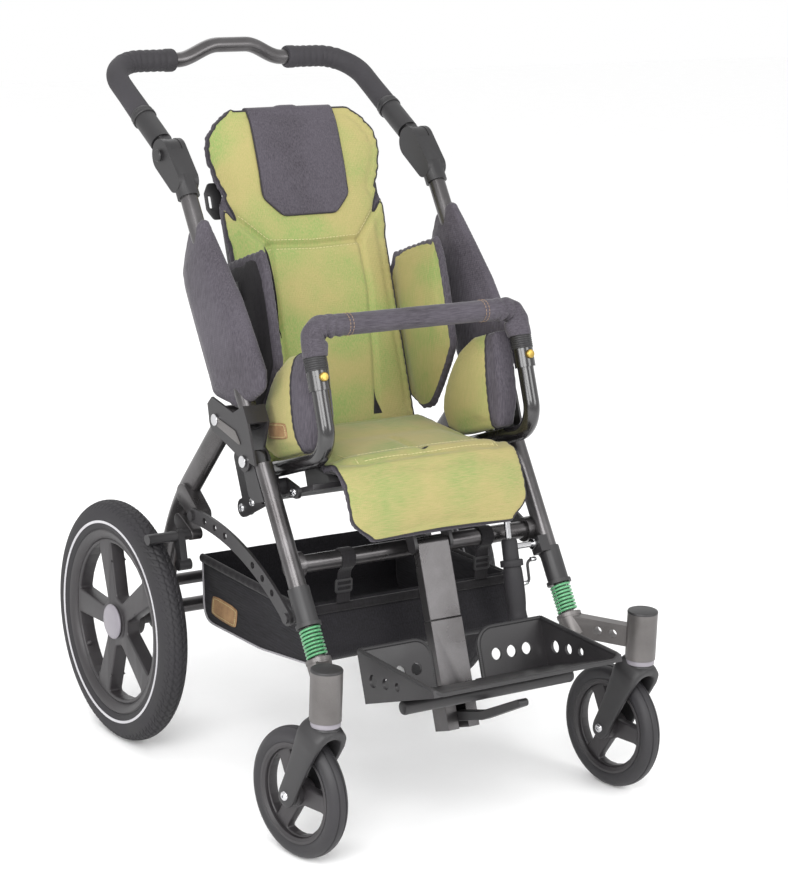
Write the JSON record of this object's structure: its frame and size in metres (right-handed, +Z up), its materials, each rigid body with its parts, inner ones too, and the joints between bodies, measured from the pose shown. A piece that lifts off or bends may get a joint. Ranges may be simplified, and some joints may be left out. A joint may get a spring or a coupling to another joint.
{
  "type": "special needs buggy",
  "caption": "Folding wheeled buggy for a seated child: tilting padded seat, reclining back, sprung swivel casters, adjustable push handle and a folding footplate",
  "frame": {"origin": "on the floor, on the centre plane, midway between the front of the footplate and the back of the push handle", "axes": "+Z up, the buggy faces -Y, +X to the occupant's left"},
  "size_m": [0.6577, 0.94, 1.1271],
  "materials": {
    "frame_grey": "satin graphite powder coat",
    "black_metal": "satin black powder coat",
    "black_plastic": "moulded, satin",
    "spring_green": "gloss green coat",
    "bright_steel": "polished",
    "black_mesh": "open woven mesh",
    "lime_cloth": "heathered woven cloth",
    "grey_cloth": "heathered woven cloth",
    "tyre": "black rubber",
    "rim_plastic": "moulded, satin",
    "cap_grey": "light grey",
    "foam": "ribbed foam",
    "button_yellow": "gloss"
  },
  "bodies": {
    "chassis": {"left_front_leg": "frame_grey", "right_front_leg": "frame_grey", "front_crossbar": "frame_grey", "leg_fittings": "black_plastic", "trunnion_pin": "bright_steel", "left_spring": "spring_green", "right_spring": "spring_green", "basket": "black_mesh"},
    "handle_frame": {"hinge_plates": "black_metal", "fold_pins": "bright_steel", "handle_stems": "frame_grey", "stem_housings": "black_plastic", "left_stem_sleeve": "grey_cloth", "right_stem_sleeve": "grey_cloth"},
    "rear_frame": {"left_rear_leg": "frame_grey", "right_rear_leg": "frame_grey", "rear_cross_tubes": "frame_grey", "rear_axles": "bright_steel"},
    "left_brake": {"left_brake": "black_plastic"},
    "right_brake": {"right_brake": "black_plastic"},
    "left_strut": {"left_strut": "black_metal"},
    "right_strut": {"right_strut": "black_metal"},
    "left_rear_wheel": {"left_tyre": "tyre", "left_rim": "rim_plastic", "left_hub_cap": "cap_grey"},
    "right_rear_wheel": {"right_tyre": "tyre", "right_rim": "rim_plastic", "right_hub_cap": "cap_grey"},
    "left_caster_arm": {"left_caster_arm": "frame_grey"},
    "right_caster_arm": {"right_caster_arm": "frame_grey"},
    "left_caster_fork": {"left_caster_fork": "black_plastic"},
    "right_caster_fork": {"right_caster_fork": "black_plastic"},
    "left_caster_wheel": {"left_caster_tyre": "tyre", "left_caster_rim": "rim_plastic"},
    "right_caster_wheel": {"right_caster_tyre": "tyre", "right_caster_rim": "rim_plastic"},
    "push_handle": {"handle_tube": "frame_grey", "handle_grips": "foam", "handle_housings": "black_plastic"},
    "left_handle_button": {"left_handle_button": "black_plastic"},
    "right_handle_button": {"right_handle_button": "black_plastic"},
    "seat_unit": {"seat_frame": "black_metal", "seat_cushion": "lime_cloth", "armrest_tubes": "black_metal", "left_hip_pad": "lime_cloth", "right_hip_pad": "lime_cloth"},
    "gas_cylinder": {"gas_cylinder": "black_plastic"},
    "gas_rod": {"gas_rod": "bright_steel"},
    "backrest": {"back_shell": "black_plastic", "back_cushion": "lime_cloth", "left_lateral_pad": "lime_cloth", "right_lateral_pad": "lime_cloth"},
    "bumper": {"bumper_bar": "frame_grey", "bumper_cover": "grey_cloth"},
    "left_bumper_button": {"left_bumper_button": "button_yellow"},
    "right_bumper_button": {"right_bumper_button": "button_yellow"},
    "legrest": {"legrest_post": "frame_grey"},
    "legrest_slider": {"legrest_slider": "frame_grey"},
    "footplate": {"footplate_tray": "black_metal"},
    "foot_lever": {"foot_lever": "black_plastic"}
  },
  "joints": [
    {"name": "handle_fold", "type": "hinge", "parent": "chassis", "child": "handle_frame", "pos_m": [0, -0.05303, 0.53645], "axis": [1, 0, 0], "range_deg": [0, 90]},
    {"name": "rear_fold", "type": "hinge", "parent": "handle_frame", "child": "rear_frame", "pos_m": [0, 0.03502, 0.5827], "axis": [1, 0, 0], "range_deg": [-58, 0]},
    {"name": "left_strut_fold", "type": "hinge", "parent": "chassis", "child": "left_strut", "pos_m": [0.253, -0.19294, 0.32601], "axis": [1, 0, 0], "range_deg": [0, 22]},
    {"name": "left_rear_spin", "type": "hinge", "parent": "rear_frame", "child": "left_rear_wheel", "pos_m": [0.3024, 0.25, 0.2], "axis": [1, 0, 0], "continuous": true},
    {"name": "left_brake_turn", "type": "hinge", "parent": "rear_frame", "child": "left_brake", "pos_m": [0.262, 0.128, 0.372], "axis": [-1, 0, 0], "range_deg": [0, 20]},
    {"name": "left_suspension", "type": "slide", "parent": "chassis", "child": "left_caster_arm", "axis": [0, 0.549, 0.8358], "range_m": [0, 0.015], "stiffness_N_per_m": 15000, "springref_m": -0.008, "deforming": ["left_spring"]},
    {"name": "left_caster_swivel", "type": "hinge", "parent": "left_caster_arm", "child": "left_caster_fork", "pos_m": [0.2915, -0.3675, 0.26], "axis": [0, 0, 1], "continuous": true},
    {"name": "left_caster_spin", "type": "hinge", "parent": "left_caster_fork", "child": "left_caster_wheel", "pos_m": [0.28624, -0.31476, 0.1], "axis": [0.9951, 0.0993, 0], "continuous": true},
    {"name": "left_handle_press", "type": "slide", "parent": "handle_frame", "child": "left_handle_button", "axis": [-1, 0, 0], "range_m": [0, 0.003], "stiffness_N_per_m": 600, "springref_m": -0.001},
    {"name": "left_bumper_press", "type": "slide", "parent": "seat_unit", "child": "left_bumper_button", "axis": [0, 0.9367, -0.3502], "range_m": [0, 0.0015], "stiffness_N_per_m": 600, "springref_m": -0.001},
    {"name": "right_strut_fold", "type": "hinge", "parent": "chassis", "child": "right_strut", "pos_m": [-0.253, -0.19294, 0.32601], "axis": [1, 0, 0], "range_deg": [0, 22]},
    {"name": "right_rear_spin", "type": "hinge", "parent": "rear_frame", "child": "right_rear_wheel", "pos_m": [-0.3024, 0.25, 0.2], "axis": [1, 0, 0], "continuous": true},
    {"name": "right_brake_turn", "type": "hinge", "parent": "rear_frame", "child": "right_brake", "pos_m": [-0.262, 0.128, 0.372], "axis": [-1, 0, 0], "range_deg": [0, 20]},
    {"name": "right_suspension", "type": "slide", "parent": "chassis", "child": "right_caster_arm", "axis": [0, 0.549, 0.8358], "range_m": [0, 0.015], "stiffness_N_per_m": 15000, "springref_m": -0.008, "deforming": ["right_spring"]},
    {"name": "right_caster_swivel", "type": "hinge", "parent": "right_caster_arm", "child": "right_caster_fork", "pos_m": [-0.2915, -0.3675, 0.26], "axis": [0, 0, 1], "continuous": true},
    {"name": "right_caster_spin", "type": "hinge", "parent": "right_caster_fork", "child": "right_caster_wheel", "pos_m": [-0.29897, -0.31503, 0.1], "axis": [0.99, 0.1409, 0], "continuous": true},
    {"name": "right_handle_press", "type": "slide", "parent": "handle_frame", "child": "right_handle_button", "axis": [1, 0, 0], "range_m": [0, 0.003], "stiffness_N_per_m": 600, "springref_m": -0.001},
    {"name": "right_bumper_press", "type": "slide", "parent": "seat_unit", "child": "right_bumper_button", "axis": [0, 0.9367, -0.3502], "range_m": [0, 0.0015], "stiffness_N_per_m": 600, "springref_m": -0.001},
    {"name": "handle_angle", "type": "hinge", "parent": "handle_frame", "child": "push_handle", "pos_m": [0, 0.22729, 0.96849], "axis": [1, 0, 0], "range_deg": [-60, 45]},
    {"name": "seat_tilt", "type": "hinge", "parent": "chassis", "child": "seat_unit", "pos_m": [0, -0.07297, 0.49499], "axis": [1, 0, 0], "range_deg": [-20, 8]},
    {"name": "gas_swivel", "type": "hinge", "parent": "chassis", "child": "gas_cylinder", "pos_m": [0.16, -0.188, 0.379], "axis": [1, 0, 0], "range_deg": [-2, 3.5]},
    {"name": "gas_extend", "type": "slide", "parent": "gas_cylinder", "child": "gas_rod", "axis": [0, 0.2756, 0.9613], "range_m": [-0.0125, 0.03]},
    {"name": "back_recline", "type": "hinge", "parent": "seat_unit", "child": "backrest", "pos_m": [0, 0.05321, 0.42804], "axis": [-1, 0, 0], "range_deg": [0, 25]},
    {"name": "legrest_angle", "type": "hinge", "parent": "seat_unit", "child": "legrest", "pos_m": [0, -0.19759, 0.40971], "axis": [-1, 0, 0], "range_deg": [0, 60]},
    {"name": "footplate_height", "type": "slide", "parent": "legrest", "child": "legrest_slider", "axis": [0, 0.3502, 0.9367], "range_m": [-0.06, 0]},
    {"name": "footplate_flip", "type": "hinge", "parent": "legrest_slider", "child": "footplate", "pos_m": [0, -0.30413, 0.19759], "axis": [1, 0, 0], "range_deg": [-75, 0]},
    {"name": "foot_lever_turn", "type": "hinge", "parent": "legrest_slider", "child": "foot_lever", "pos_m": [0, -0.28911, 0.15781], "axis": [1, 0, 0], "range_deg": [0, 25]},
    {"name": "bumper_slide", "type": "slide", "parent": "seat_unit", "child": "bumper", "axis": [0, 0.3502, 0.9367], "range_m": [0, 0.06]}
  ],
  "couplings": [
    {"joint": "rear_fold", "follows": "handle_fold", "ratio": -0.6423},
    {"joint": "left_strut_fold", "follows": "handle_fold", "ratio": 0.2437},
    {"joint": "right_strut_fold", "follows": "handle_fold", "ratio": 0.2437},
    {"joint": "gas_swivel", "follows": "seat_tilt", "ratio": -0.125},
    {"joint": "gas_extend", "follows": "seat_tilt", "m_per_rad": -0.0802}
  ]
}
